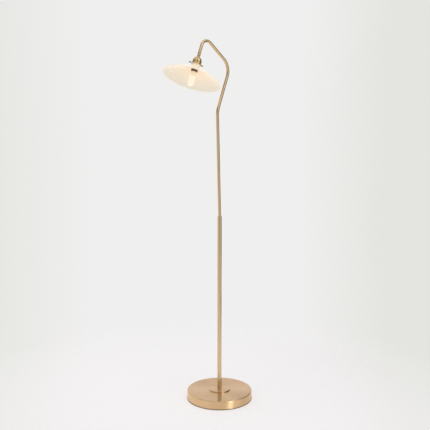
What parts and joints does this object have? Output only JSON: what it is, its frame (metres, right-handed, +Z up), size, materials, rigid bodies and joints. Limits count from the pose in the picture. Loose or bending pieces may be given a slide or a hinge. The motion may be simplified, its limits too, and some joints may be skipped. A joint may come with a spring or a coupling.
{
  "type": "reading floor lamp",
  "caption": "Floor lamp with a weighted round base, a two-stage pole, a swivelling swan-neck arm and a tilting wide opal glass shade held by thumbscrews.",
  "frame": {"origin": "on the floor under the axis of the pole, at the centre of the base's underside", "axes": "+Z up along the pole, -X towards the head at rest, +X towards the cord inlet at the back"},
  "size_m": [0.4059, 0.28, 1.5257],
  "materials": {
    "satin_brass": "satin, finely brushed, pale champagne tone",
    "raw_brass": "turned, unplated",
    "cast_iron": "rough cast, dark",
    "zinc_steel": "zinc plated",
    "felt": "pressed felt",
    "phenolic": "moulded, dark brown",
    "nylon": "turned, natural white",
    "opal_glass": "smooth opal, warm white",
    "bulb_glass": "frosted",
    "cap_metal": "pressed, bright",
    "filament": "phosphor coated"
  },
  "bodies": {
    "stand": {"base_pad": "felt", "base_weight": "cast_iron", "base_cover": "satin_brass", "base_spacer": "zinc_steel", "centre_plate": "satin_brass", "base_nipple": "raw_brass", "base_washer": "zinc_steel", "base_nut": "zinc_steel", "cord_bushing": "phenolic", "lower_pole": "satin_brass", "foot_plug": "raw_brass", "upper_bush": "nylon", "lower_bush": "nylon", "thrust_washer": "zinc_steel"},
    "arm": {"swan_neck": "satin_brass", "stop_pin": "zinc_steel", "neck_plug": "raw_brass", "knuckle_fork": "satin_brass", "knuckle_screw": "satin_brass", "knuckle_nut": "satin_brass", "friction_washers": "zinc_steel"},
    "head": {"knuckle_tongue": "satin_brass", "domed_cup": "satin_brass", "gallery": "satin_brass", "holder_nut": "zinc_steel", "socket_body": "phenolic", "socket_shell": "raw_brass", "socket_contact": "raw_brass", "glass_shade": "opal_glass", "bulb_glass": "bulb_glass", "bulb_cap": "cap_metal", "bulb_insulator": "phenolic", "bulb_contact": "cap_metal", "bulb_stem": "bulb_glass", "bulb_filament": "filament"},
    "screw_1": {"thumbscrew_1": "satin_brass"},
    "screw_2": {"thumbscrew_2": "satin_brass"},
    "screw_3": {"thumbscrew_3": "satin_brass"}
  },
  "joints": [
    {"name": "arm_swivel", "type": "hinge", "parent": "stand", "child": "arm", "pos_m": [0, 0, 0.796], "axis": [0, 0, 1], "range_deg": [-160, 160]},
    {"name": "head_tilt", "type": "hinge", "parent": "arm", "child": "head", "pos_m": [-0.11004, 0, 1.45824], "axis": [0, 1, 0], "range_deg": [-20, 60]},
    {"name": "screw_1_turn", "type": "hinge", "parent": "head", "child": "screw_1", "pos_m": [-0.12185, 0, 1.42615], "axis": [-0.4692, 0.866, 0.1726], "range_deg": [0, 1080]},
    {"name": "screw_2_turn", "type": "hinge", "parent": "head", "child": "screw_2", "pos_m": [-0.12185, 0, 1.42615], "axis": [0.9385, 0, -0.3453], "range_deg": [0, 1080]},
    {"name": "screw_3_turn", "type": "hinge", "parent": "head", "child": "screw_3", "pos_m": [-0.12185, 0, 1.42615], "axis": [-0.4692, -0.866, 0.1726], "range_deg": [0, 1080]}
  ]
}
